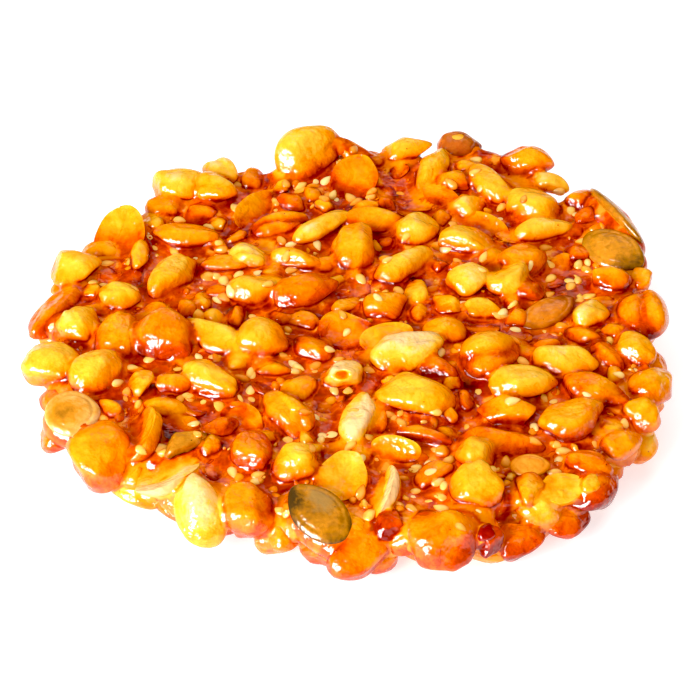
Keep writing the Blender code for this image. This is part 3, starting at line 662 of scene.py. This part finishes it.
def glazed(name, stops, mottle, roughness, ripple, glow, specked=0.0, under=None, outlined=False,
           bloom=None):
    """A glossy glazed finish. Its colour follows the attribute tone through the stops, made uneven by noise.

    under gives the stops for the attribute nut, which shows through where the attribute cover is low.
    outlined adds a dark line of painted shade where the attribute above is 0, as dark as the attribute rim says.
    The last argument gives a painted sheen: a greyish colour standing in for a reflection, that lies over the rest
    where the attribute of the same name is high.
    """
    graph = Graph(name)
    tone = graph.attribute("tone")
    line = 0.0
    # A line of painted shade where caramel meets a nut.
    if outlined:
        away = graph.math("DIVIDE", graph.math("ABSOLUTE", graph.attribute("above"), 0.0), OUTLINE)
        near = graph.math("MAXIMUM", graph.math("SUBTRACT", 1.0, away), 0.0)
        line = graph.math("MULTIPLY", near, graph.attribute("rim"))
        tone = graph.math("ADD", tone, line)
    if specked:
        tone = graph.math("ADD", tone, graph.math("MULTIPLY", specks(graph, 2.6, 0.16, 0.35), 0.5 * specked))
        tone = graph.math("ADD", tone, graph.math("MULTIPLY", veins(graph, 5.0, 45.0), 0.08 * specked))
    colour = graph.ramp(mottled(graph, tone, mottle), stops)
    if under:
        nut = graph.math("ADD", graph.attribute("nut"), line)
        through = graph.ramp(mottled(graph, nut, NUT_MOTTLE), under)
        colour = graph.mix(graph.attribute("cover"), through, colour)
    if bloom:
        # Painted sheen, standing in for a reflection, with ragged edges.
        ragged = graph.math("MULTIPLY_ADD", graph.noise(1.5, detail=4.0), 1.6)
        ragged.node.inputs[2].default_value = -1.2
        share = graph.math("ADD", graph.math("MULTIPLY", graph.attribute("bloom"), 1.4), ragged)
        share = graph.math("MAXIMUM", graph.math("MINIMUM", share, 0.75), 0.0)
        colour = graph.mix(share, colour, graph.colour(bloom))
    graph.set(graph.shader, "Base Color", colour)
    low, high = roughness
    gloss = graph.math("MULTIPLY_ADD", graph.noise(1.6), high - low)
    gloss.node.inputs[2].default_value = low
    graph.set(graph.shader, "Roughness", gloss)
    bump = None
    for size, height in ripple:
        made = graph.node("Bump", Height=graph.noise(size), Distance=height * MM, Strength=1.0)
        if bump:
            graph.set(made, "Normal", bump)
        bump = made.outputs["Normal"]
    graph.set(graph.shader, "Normal", bump)
    graph.set(graph.shader, "IOR", 1.48)
    graph.set(graph.shader, "Subsurface Weight", glow)
    graph.set(graph.shader, "Subsurface Radius", (1.0, 0.35, 0.06))
    graph.set(graph.shader, "Subsurface Scale", 1.6 * MM)
    return graph.material


NUT_MOTTLE = ((6.0, 0.6), (1.8, 0.3), (0.7, 0.12))
NUT_STOPS = (
    (0.0, (246, 202, 138)),
    (0.2, (250, 186, 54)),
    (0.4, (248, 158, 24)),
    (0.6, (236, 122, 16)),
    (0.8, (204, 68, 8)),
    (1.0, (136, 22, 4)),
)
SKIN_STOPS = (
    (0.0, (224, 130, 40)),
    (0.5, (160, 64, 22)),
    (1.0, (96, 30, 14)),
)
FRUIT_STOPS = (
    (0.0, (190, 40, 14)),
    (0.5, (130, 14, 8)),
    (1.0, (70, 4, 4)),
)
FRAGMENT_STOPS = (
    (0.0, (232, 160, 46)),
    (0.6, (168, 100, 18)),
    (1.0, (52, 26, 8)),
)
CARAMEL_STOPS = (
    (0.0, (244, 152, 46)),
    (0.14, (228, 106, 20)),
    (0.32, (196, 62, 10)),
    (0.58, (146, 27, 6)),
    (1.0, (66, 6, 5)),
)
SESAME_STOPS = (
    (0.0, (252, 222, 156)),
    (0.4, (248, 190, 92)),
    (0.75, (238, 142, 40)),
    (1.0, (204, 92, 14)),
)
CRUMB_STOPS = (
    (0.0, (254, 206, 104)),
    (0.5, (246, 150, 30)),
    (1.0, (214, 80, 6)),
)
PUMPKIN_STOPS = (
    (0.0, (240, 196, 134)),
    (0.25, (222, 164, 76)),
    (0.5, (210, 134, 28)),
    (0.75, (158, 100, 16)),
    (1.0, (74, 52, 22)),
)
SUNKEN_SEED_STOPS = (
    (0.0, (246, 176, 60)),
    (0.5, (214, 122, 26)),
    (1.0, (140, 52, 12)),
)
# Colour of the painted sheen on a pumpkin seed, standing in for a reflection.
PUMPKIN_PAINTED_SHEEN = (158, 124, 68)
SUNKEN_SEEDS = ("pumpkin_seed_inner", "pumpkin_seed_small")
# How deep each pumpkin seed's colour is in its middle, and how much deeper along its edge and in a patch.
PUMPKIN_TONES = {
    "pumpkin_seed_front": (0.62, 0.3, 0.35),
    "pumpkin_seed_left": (0.3, -0.2, 0.36),
    "pumpkin_seed_edge": (0.54, 0.1, 0.2),
    "pumpkin_seed_right": (0.58, 0.1, 0.2),
    "pumpkin_seed_inner": (0.5, 0.5, 0.35),
    "pumpkin_seed_small": (0.3, 0.4, 0.0),
}
# Where that patch lies, and the greyish painted sheen that stands in for a reflection: along and across the seed, and
# how wide, as shares of its half size.
PUMPKIN_PATCHES = {
    "pumpkin_seed_front": ((0.8, 0.5, 0.55), (0.2, -0.35, 0.5)),
    "pumpkin_seed_left": ((-0.35, -0.1, 0.5), None),
    "pumpkin_seed_edge": ((1.0, 0.0, 0.5), None),
    "pumpkin_seed_right": ((0.9, -0.2, 0.6), None),
    "pumpkin_seed_inner": ((0.8, 0.3, 0.6), None),
    "pumpkin_seed_small": ((0.0, 0.0, 1.0), None),
}


# ---------------------------------------------------------------- nuts

def nut_tone(nut, number):
    """How deep a nut's colour is, from 0, pale, to 1."""
    return GLAZE_TONE + TONES.get(nut[:2], random.Random(900 + number).uniform(-0.02, 0.34))


def add_nuts(joined, table, thickness, form, cuts, first):
    for number, nut in enumerate(table, first):
        if nut[:2] == SKINNED:
            continue
        points, faces = placed(nut, thickness, form, cuts, number)
        tone = nut_tone(nut, number) + shaded_and_drained(points)
        if nut[:2] == OPEN_ENDED:
            tone = tone + 0.7 * pit(quad_sphere(cuts)[0])
        # The open seam is also painted darker, as shade down in its crease.
        if nut[:2] in SEAMS:
            tone = tone + 0.3 * open_seam(quad_sphere(cuts)[0], SEAMS[nut[:2]])
        joined.add(points, faces, tone=tone)


def shaded_and_drained(points):
    """How much a nut's colour is deepened: less on its top, with painted light, and more on its lower side, with
    painted shade and the glaze that has run to it.
    """
    height = points[:, 2]
    low = (height.max() - height) / (height.max() - height.min())
    return PAINTED_PALE_TOP + SHADE_AND_RUN_DOWN * np.clip(low / 0.6, 0, 1) ** 1.2


def caramel_surface(solids):
    """The caramel: the slab with all nuts, melted together so that it fills the gaps and climbs up their sides."""
    bm = bmesh.new()
    height = POOL_LEVEL + UNDER_FLOOR
    made = bmesh.ops.create_cone(bm, cap_ends=True, segments=SLAB_SEGMENTS, radius1=1.0, radius2=1.0, depth=height)
    middle = Vector((*CENTRE_SHIFT, (POOL_LEVEL - UNDER_FLOOR) / 2))
    for vert in made["verts"]:
        inset = SLAB_INSET if vert.co.z > 0 else FOOT_INSET
        reach = outline(math.atan2(vert.co.y, vert.co.x)) - inset
        vert.co = Vector((vert.co.x * reach, vert.co.y * reach, vert.co.z)) + middle
    mesh = bpy.data.meshes.new("melt")
    bm.to_mesh(mesh)
    bm.free()
    slab_points = np.array([vert.co for vert in mesh.vertices])
    slab_faces = [list(face.vertices) for face in mesh.polygons]
    points, faces = solids.arrays()
    faces = (faces + len(slab_points)).tolist()
    mesh = bpy.data.meshes.new("melt")
    mesh.from_pydata(np.concatenate((slab_points, points)), [], slab_faces + faces)
    obj = bpy.data.objects.new("melt", mesh)
    bpy.context.scene.collection.objects.link(obj)
    fuse = obj.modifiers.new("fuse", "REMESH")
    fuse.mode = "VOXEL"
    fuse.voxel_size = VOXEL
    melted = obj.evaluated_get(bpy.context.evaluated_depsgraph_get()).to_mesh()
    points = np.zeros(len(melted.vertices) * 3)
    melted.vertices.foreach_get("co", points)
    points = points.reshape(-1, 3)
    faces = np.zeros(len(melted.loops), int)
    melted.loops.foreach_get("vertex_index", faces)
    faces = faces.reshape(-1, 4)
    edges = np.zeros(len(melted.edges) * 2, int)
    melted.edges.foreach_get("vertices", edges)
    edges = edges.reshape(-1, 2)
    bpy.data.objects.remove(obj)
    return melt(points, edges, faces), faces


def melt(points, edges, faces):
    """Evens out the surface, and presses what is near the bottom flat."""
    count = np.bincount(edges.ravel(), minlength=len(points))[:, None]
    for _ in range(MELT_PASSES):
        total = np.zeros_like(points)
        for axis in range(3):
            total[:, axis] = np.bincount(edges[:, 0], points[edges[:, 1], axis], len(points))
            total[:, axis] += np.bincount(edges[:, 1], points[edges[:, 0], axis], len(points))
        points = points * 0.5 + total / count * 0.5
    rng = random.Random(5)
    top = np.clip(points[:, 2] / 4, 0, 1)
    points[:, 2] += top * (0.12 * waves(points, rng, 10, 0.8, 1.6))
    swell = FILM_SWELL * np.clip(waves(points, rng, 12, 0.5, 1.1), 0, 1)
    points = points - (FACE_FILM - swell)[:, None] * normals(points, faces)
    points[:, 2] = np.where(points[:, 2] < 0.6, np.maximum(points[:, 2], 0.0), points[:, 2])
    return points


def deepest(points, depths):
    """The deepest colour at each point, by its height: painted lighter towards the foot, standing in for the light
    from the floor that shines into it there.
    """
    return np.interp(points[:, 2], DEPTH_LEVELS, depths)


def contact_shade_darkness(points, away):
    """How dark the painted shade line round a nut is: less so at the foot, and away from the pools of caramel."""
    return CONTACT_SHADE_DARKNESS * np.exp(-away / 0.9) * np.clip(points[:, 2] / DEPTH_LEVELS[1], 0.3, 1)


def filled(points, faces, relief):
    """The caramel's surface, higher in the gaps between the nuts, but not where a pumpkin seed lies."""
    seeds = Joined()
    for seed in PUMPKIN_SEEDS.values():
        seeds.add(*placed(seed, SEED_THICKNESS, lambda points, rng: points, 6, 0))
    tree = BVHTree.FromPolygons(*(part.tolist() for part in seeds.arrays()))
    clear = np.clip((distances(points.tolist(), tree) - 0.6) / 2, 0, 1)
    upward = np.clip(normals(points, faces)[:, 2] / 0.5, 0, 1) * np.clip((points[:, 2] - 8) / 2, 0, 1)
    points[:, 2] += FILLED * CREVICE * relief.below(points) * upward * clear
    return points


def normals(points, faces):
    """Outward direction at each point of a mesh of quads."""
    corners = points[faces]
    across = np.cross(corners[:, 2] - corners[:, 0], corners[:, 3] - corners[:, 1])
    total = np.zeros_like(points)
    for corner in range(4):
        for axis in range(3):
            total[:, axis] += np.bincount(faces[:, corner], across[:, axis], len(points))
    return total / np.maximum(np.linalg.norm(total, axis=1, keepdims=True), 1e-12)


def looked_under(points, outward, tree):
    """What lies under each point of the caramel's surface: how deep it is there, and the face of the nut below.

    The depth is 0 where the point is inside a nut.
    """
    depths = []
    below = []
    for point, normal in zip(points, outward):
        point, normal = Vector(point), Vector(normal)
        near, facing, index, _ = tree.find_nearest(point)
        depth = 0.0
        if (point - near).dot(facing) > 0:
            _, _, struck, depth = tree.ray_cast(point, -normal)
            index = index if struck is None else struck
            depth = DEEP if depth is None else depth
        depths.append(depth)
        below.append(index)
    return np.array(depths), np.array(below)


def nut_finish(name, stops):
    ripple = ((2.4, 0.36), (1.2, 0.2), (0.45, 0.035))
    return glazed(name, stops, NUT_MOTTLE, (0.04, 0.14), ripple, 0.18, specked=1.0, outlined=True)


class Relief:
    """The height of the brittle's top, evened out, by place."""

    def __init__(self, points):
        self.cells = int(RELIEF_SPAN / RELIEF_CELL)
        heights = np.zeros((self.cells, self.cells))
        np.maximum.at(heights, self.cell(points), points[:, 2])
        steps = np.arange(-3 * RELIEF_SPREAD, 3 * RELIEF_SPREAD + RELIEF_CELL, RELIEF_CELL)
        weights = np.exp(-((steps / RELIEF_SPREAD) ** 2) / 2)
        weights /= weights.sum()
        for axis in (0, 1):
            heights = np.apply_along_axis(np.convolve, axis, heights, weights, "same")
        self.heights = heights

    def cell(self, points):
        place = ((points[:, :2] + RELIEF_SPAN / 2) / RELIEF_CELL).astype(int)
        return tuple(np.clip(place, 0, self.cells - 1).T)

    def below(self, points):
        """How far each point is below the evened height, as a share of the deepest crevices."""
        return np.clip((self.heights[self.cell(points)] - points[:, 2]) / CREVICE, 0, 1)


def main():
    upper = (*KERNELS, *HALVES, *CHUNKS, *PUMPKIN_SEEDS.values())
    kernels = Joined()
    add_nuts(kernels, KERNELS, KERNEL_THICKNESS, kernel, 14, 0)
    halves = Joined()
    add_nuts(halves, HALVES, HALF_THICKNESS, half, 18, 100)
    chunks = Joined()
    add_nuts(chunks, CHUNKS, CHUNK_THICKNESS, chunk, 18, 200)
    small = Joined()
    forms = (kernel, chunk, half)
    for number, nut in enumerate(fillers(upper), 300):
        form = forms[number % 3]
        points, faces = placed(nut, KERNEL_THICKNESS, form, 8, number)
        small.add(points, faces, tone=nut_tone(nut, number) + shaded_and_drained(points) + 0.1)
    skinned = Joined()
    for number, nut in enumerate(KERNELS):
        if nut[:2] == SKINNED:
            skinned.add(*placed(nut, KERNEL_THICKNESS, kernel, 14, number), tone=0.2)
    fruit = Joined()
    fruit.add(*placed(RED_FRUIT, KERNEL_THICKNESS, kernel, 12, 950), tone=0.3)
    fragment = Joined()
    fragment.add(*placed(SEED_FRAGMENT, CHUNK_THICKNESS, chunk, 16, 951), tone=0.35)
    lower = Joined()
    shown = Joined()
    for number, nut in enumerate(lower_nuts(), 500):
        points, faces = placed(nut, KERNEL_THICKNESS, kernel, 9, number)
        lower.add(points, faces, tone=UNDER_TONE)
        if np.hypot(nut[0], nut[1]) > outline(math.atan2(nut[1], nut[0])) - LAYER_NUT[0] * 1.2:
            shown.add(points, faces, tone=nut_tone(nut, number) + shaded_and_drained(points) + 0.1)
    groups = {
        "peanut_kernels": kernels, "peanut_halves": halves, "peanut_chunks": chunks, "small_nuts": small,
        "rim_nuts": shown, "skinned_peanut": skinned, "fruit_piece": fruit, "seed_fragment": fragment,
    }
    nuts = Joined()
    bottom = (kernels, halves, chunks, small, lower, skinned, fruit, fragment)
    for group in bottom:
        nuts.add(*group.arrays())
    solids = Joined()
    solids.add(*nuts.arrays())
    beds = (bed(seed) for seed in PUMPKIN_SEEDS.values())
    for lump in (*beds, *LUMPS):
        solids.add(*placed(lump, BED_THICKNESS, lambda points, rng: points, 8, 0))
    points, faces = caramel_surface(solids)
    relief = Relief(np.concatenate((points, nuts.arrays()[0])))
    points = filled(points, faces, relief)

    nut_points, nut_faces = nuts.arrays()
    nut_tree = BVHTree.FromPolygons(nut_points.tolist(), nut_faces.tolist())
    depths, below = looked_under(points, normals(points, faces), nut_tree)
    cover = 1 - np.exp(-depths / CLEARNESS)
    between = cover[faces].min(axis=1) > OPEN_COVER
    pool_tree = BVHTree.FromPolygons(points.tolist(), faces[between].tolist())
    surface = Joined()
    surface.add(points, faces)
    for group in groups.values():
        surface.add(*group.arrays())
    ground = np.zeros(sum(len(part) for part in surface.faces), int)
    ground[:len(faces)] = between
    caramel_tree = BVHTree.FromPolygons(points.tolist(), faces.tolist())
    for group in groups.values():
        for index, part in enumerate(group.points):
            away = distances(part.tolist(), pool_tree)
            # Glaze run from the pools deepens a nut's colour near them, and the narrow term is painted shade at the
            # waterline.
            wet_and_shaded = 0.4 * np.exp(-away / 0.5) + 0.34 * np.exp(-away / 2.8)
            dry = group.values["tone"][index]
            # Painted shade deepens the nuts in the crevices, and the cap by height paints them lighter near the foot,
            # for the floor's light.
            tone = np.minimum(dry + wet_and_shaded + 0.2 * relief.below(part), deepest(part, NUT_DEPTHS))
            group.values["tone"][index] = np.maximum(tone, dry)
            group.values.setdefault("above", []).append(heights_over(part.tolist(), caramel_tree))
            group.values.setdefault("rim", []).append(contact_shade_darkness(part, away))
    for number, seed in enumerate(PUMPKIN_SEEDS.values()):
        surface.add(*placed(seed, SEED_THICKNESS, pumpkin, 8, 700 + number))
    ground = np.append(ground, np.full(sum(len(part) for part in surface.faces) - len(ground), 2))
    surface_tree = BVHTree.FromPolygons(*(part.tolist() for part in surface.arrays()))

    nut_tones = np.concatenate([np.concatenate(group.values["tone"]) for group in bottom])
    seen = nut_tones[nut_faces[below, 0]] + 0.15 * cover
    above = heights_over(points.tolist(), nut_tree)
    # Painted shade: the caramel is made darker close to the nuts and down in the crevices between them.
    edge = np.exp(-np.abs(above) / CONTACT_SHADE_REACH)
    depth = sunken(points, 0.06 + 0.24 * cover + 0.4 * edge * cover + 0.45 * relief.below(points))
    for x, y, radius in DARKENED_POOLS:
        away = np.hypot(points[:, 0] - x - CENTRE_SHIFT[0], points[:, 1] - y - CENTRE_SHIFT[1])
        depth = depth + 0.5 * np.exp(-((away / radius) ** 2))
    # Painted light: the caramel is kept paler towards the foot, for the floor's light.
    depth = np.minimum(depth, deepest(points, CARAMEL_DEPTHS))
    mottle = ((3.6, 1.0), (1.4, 0.6))
    ripple = ((2.2, 0.3), (0.9, 0.1))
    caramel_finish = glazed(
        "caramel", CARAMEL_STOPS, mottle, (0.03, 0.12), ripple, 0.12, under=NUT_STOPS, outlined=True
    )
    bubble_finish = glazed("bubble", CARAMEL_STOPS, mottle, (0.03, 0.12), ripple, 0.12)
    # The caramel's side of the painted shade line round the nuts.
    dark = contact_shade_darkness(points, distances(points.tolist(), pool_tree))
    values = {"tone": depth, "cover": cover, "nut": seen, "above": above, "rim": dark}
    shown_pieces = [mesh_piece("caramel", points, faces, values, caramel_finish)]
    peanut = nut_finish("glazed peanut", NUT_STOPS)
    finishes = {
        "skinned_peanut": nut_finish("peanut skin", SKIN_STOPS), "fruit_piece": nut_finish("dried fruit", FRUIT_STOPS),
        "seed_fragment": nut_finish("broken pumpkin seed", FRAGMENT_STOPS),
    }
    for name, group in groups.items():
        shown_pieces.append(group.make(name, finishes.get(name, peanut)))

    shown_pieces.append(scatter_sesame(surface_tree, ground))
    shown_pieces.append(scatter_crumbs(surface_tree, ground))
    shown_pieces.append(scatter_bubbles(surface_tree, ground, bubble_finish))
    for piece in shown_pieces:
        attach(piece, "root")
        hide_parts("brittle")
    seed_ripple = ((2.4, 0.3), (0.8, 0.08))
    dry_seed = glazed(
        "pumpkin seed", PUMPKIN_STOPS, ((5.0, 0.6), (1.2, 0.45)), (0.08, 0.28), seed_ripple, 0.1, 1.0,
        bloom=PUMPKIN_PAINTED_SHEEN
    )
    sunken_seed = glazed(
        "pumpkin seed in caramel", SUNKEN_SEED_STOPS, ((5.0, 0.7), (1.6, 0.5)), (0.04, 0.14), seed_ripple, 0.1, 1.0
    )
    for number, (name, seed) in enumerate(PUMPKIN_SEEDS.items()):
        group = Joined()
        middle, edge, deeper = PUMPKIN_TONES[name]
        patch, bloom = PUMPKIN_PATCHES[name]
        unit = quad_sphere(24)[0]
        tone = middle + edge * np.hypot(unit[:, 0], unit[:, 1]) ** 8 + deeper * spot(unit, patch)
        bloom = spot(unit, bloom) if bloom else 0.0
        group.add(*placed(seed, SEED_THICKNESS, pumpkin, 24, 700 + number), tone=tone, bloom=bloom)
        piece = group.make(name + "_skin", sunken_seed if name in SUNKEN_SEEDS else dry_seed)
        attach(piece, "root")
        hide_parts(name)


def spot(points, place):
    """1 in the middle of a soft patch on the unit sphere, falling to 0 round it."""
    along, across, width = place
    away = np.hypot(points[:, 0] - along, points[:, 1] - across)
    return np.exp(-((away / width) ** 2))


def sunken(points, depth):
    """Paler ovals in the caramel, where seeds and crumbs lie just under its surface."""
    rng = random.Random(33)
    for _ in range(1700):
        middle = points[rng.randrange(len(points))]
        if middle[2] < 6:
            continue
        heading = rng.uniform(0, math.pi)
        ahead = np.array((math.cos(heading), math.sin(heading), 0))
        aside = np.array((-ahead[1], ahead[0], 0))
        away = points - middle
        length, width = rng.uniform(1.2, 2.4), rng.uniform(0.7, 1.2)
        oval = (away @ ahead / length) ** 2 + (away @ aside / width) ** 2 + (away[:, 2] / length) ** 2
        depth = depth * (1 - rng.uniform(0.4, 0.9) * np.exp(-oval ** 2))
    return depth


def scattered(tree, spots, ground, rng, keep):
    """Where a ray from the eye through each spot meets the surface.

    keep gives the shares kept on nuts, between them and on pumpkin seeds, which ground numbers 0, 1 and 2.
    """
    eye = Vector(CAMERA_PLACE) + Vector((*CENTRE_SHIFT, 0))
    for x, y in spots:
        target = Vector((x + CENTRE_SHIFT[0], y + CENTRE_SHIFT[1], READ_LEVEL))
        hit, normal, index, _ = tree.ray_cast(eye, target - eye)
        if hit is not None and rng.random() < keep[ground[index]]:
            yield hit, normal


def anywhere(rng, count):
    """Random places within the outline."""
    for _ in range(count):
        angle = rng.uniform(0, 2 * math.pi)
        reach = (outline(angle) - 3) * math.sqrt(rng.random())
        yield reach * math.cos(angle), reach * math.sin(angle)


def add_grain(joined, hit, normal, form, size, sink, tone, cuts, rng):
    """One seed or crumb, lying about flat on the surface and sunk into it by a random amount within sink."""
    points, faces = quad_sphere(cuts)
    tilt = Vector((rng.gauss(0, 0.25), rng.gauss(0, 0.25), 1)).normalized()
    up = (normal * 0.7 + tilt * 0.5).normalized()
    turn = up.to_track_quat("Z", "Y").to_matrix() @ Matrix.Rotation(rng.uniform(0, 2 * math.pi), 3, "Z")
    place = np.array(hit + up * rng.uniform(*sink))
    # Painted shade, together with the caramel wetting it: each grain's colour is deeper on its lower side, where it
    # meets the surface.
    rim = 0.45 * (1 - np.clip(points[:, 2], 0, 1))
    joined.add(form(points, rng) * size / 2 @ np.array(turn).T + place, faces, tone=tone + rim)


def scatter_sesame(tree, ground):
    """The sesame seeds, partly sunk in the glaze."""
    rng = random.Random(21)
    spots = []
    for x, y, radius, number in SESAME_CLUSTERS:
        for _ in range(number):
            angle = rng.uniform(0, 2 * math.pi)
            reach = radius * math.sqrt(rng.random())
            spots.append((x + reach * math.cos(angle), y + reach * math.sin(angle)))
    joined = Joined()
    places = list(scattered(tree, SESAME_PLACES, ground, rng, (1.0, 1.0, 0.0)))
    places += scattered(tree, spots, ground, rng, (0.2, 1.0, 0.0))
    places += scattered(tree, anywhere(rng, 900), ground, rng, (0.06, 0.7, 0.0))
    for hit, normal in places:
        length = rng.uniform(2.5, 3.5)
        size = np.array((length, length * rng.uniform(0.54, 0.68), length * 0.36))
        add_grain(joined, hit, normal, sesame, size, (-0.5, 0.1), rng.uniform(0.05, 0.7), 4, rng)
    finish = glazed("sesame seed", SESAME_STOPS, ((1.5, 0.4),), (0.05, 0.16), ((1.0, 0.12),), 0.15)
    return joined.make("sesame_seeds", finish)


def scatter_bubbles(tree, ground, finish):
    """Small bubbles that stand out of the caramel."""
    rng = random.Random(23)
    joined = Joined()
    spots = list(anywhere(rng, 260))
    for x, y in BUBBLE_PLACES:
        spots += [(x + rng.gauss(0, 1.4), y + rng.gauss(0, 1.4)) for _ in range(14)]
    for hit, normal in scattered(tree, spots, ground, rng, (0.0, 0.8, 0.0)):
        size = rng.uniform(0.35, 1.0)
        add_grain(joined, hit, normal, lambda points, rng: points, size, (-0.3 * size, 0.1), 0.05, 4, rng)
    return joined.make("bubbles", finish)


def scatter_crumbs(tree, ground):
    """Crumbs of nut in the caramel."""
    rng = random.Random(22)
    joined = Joined()
    for hit, normal in scattered(tree, anywhere(rng, 1300), ground, rng, (0.0, 0.7, 0.0)):
        length = rng.uniform(1.0, 3.6)
        size = np.array((length, length * rng.uniform(0.5, 0.9), length * rng.uniform(0.4, 0.7)))
        add_grain(joined, hit, normal, chunk, size, (-0.25 * length, 0.1), rng.uniform(0.1, 0.9), 4, rng)
    finish = glazed("crumb", CRUMB_STOPS, ((1.5, 0.4),), (0.05, 0.2), ((0.8, 0.08),), 0.2)
    return joined.make("crumbs", finish)


# ---------------------------------------------------------------- floor, light, camera

def make_floor():
    bm = bmesh.new()
    bmesh.ops.create_grid(bm, x_segments=1, y_segments=1, size=3.0)
    mesh = bpy.data.meshes.new("floor")
    bm.to_mesh(mesh)
    bm.free()
    floor = bpy.data.objects.new("floor", mesh)
    floor.location.z = -0.05 * MM
    graph = Graph("white paper")
    graph.set(graph.shader, "Base Color", (0.62, 0.62, 0.62, 1.0))
    graph.set(graph.shader, "Roughness", 0.9)
    graph.set(graph.shader, "Specular IOR Level", 0.0)
    graph.set(graph.shader, "Emission Color", (1.0, 1.0, 1.0, 1.0))
    graph.set(graph.shader, "Emission Strength", 0.6)
    mesh.materials.append(graph.material)
    bpy.context.scene.collection.objects.link(floor)


def softbox(name, azimuth, elevation, distance, size, power, lights="all"):
    """An area light that faces the piece. Azimuth 0 is in front, and 90 at the right.

    lights is what it adds: "matt" for light with no reflection, "gloss" for a reflection alone, or "all".
    """
    light = bpy.data.lights.new(name, "AREA")
    light.shape = "RECTANGLE"
    light.size, light.size_y = size
    light.energy = power
    obj = bpy.data.objects.new(name, light)
    turn, lift = math.radians(azimuth), math.radians(elevation)
    away = Vector((math.sin(turn) * math.cos(lift), -math.cos(turn) * math.cos(lift), math.sin(lift)))
    obj.location = away * distance
    obj.rotation_euler = away.to_track_quat("Z", "Y").to_euler()
    obj.visible_glossy = lights != "matt"
    obj.visible_diffuse = lights != "gloss"
    bpy.context.scene.collection.objects.link(obj)


def make_camera():
    camera = bpy.data.cameras.new("camera")
    camera.lens = LENS
    camera.sensor_width = SENSOR
    camera.clip_start = 0.01
    obj = bpy.data.objects.new("camera", camera)
    obj.location = (Vector(CAMERA_PLACE) + Vector((*CENTRE_SHIFT, 0))) * MM
    obj.rotation_euler.x = math.radians(CAMERA_TILT)
    bpy.context.scene.collection.objects.link(obj)
    bpy.context.scene.camera = obj


def make_world():
    world = bpy.data.worlds.new("studio")
    bpy.context.scene.world = world
    world.use_nodes = True
    world.node_tree.nodes["Background"].inputs["Color"].default_value = (1.0, 1.0, 1.0, 1.0)
    world.node_tree.nodes["Background"].inputs["Strength"].default_value = 0.32
    world.cycles_visibility.glossy = False
    settings = bpy.context.scene.view_settings
    settings.view_transform = "Standard"
    settings.use_curve_mapping = True
    settings.curve_mapping.black_level = (0.01, 0.01, 0.01)
    settings.curve_mapping.update()


main()
make_floor()
softbox("key", -42, 24, 0.8, (0.5, 0.4), 10.5, lights="matt")
softbox("fill", 50, 25, 1.0, (0.8, 0.6), 2.2, lights="matt")
softbox("window", -42, 20, 0.7, (0.5, 0.4), 27.0, lights="gloss")
softbox("top", 200, 72, 1.2, (1.4, 1.4), 9.5, lights="matt")
softbox("back", 170, 38, 1.0, (0.5, 0.2), 0.45, lights="gloss")
make_world()
make_camera()
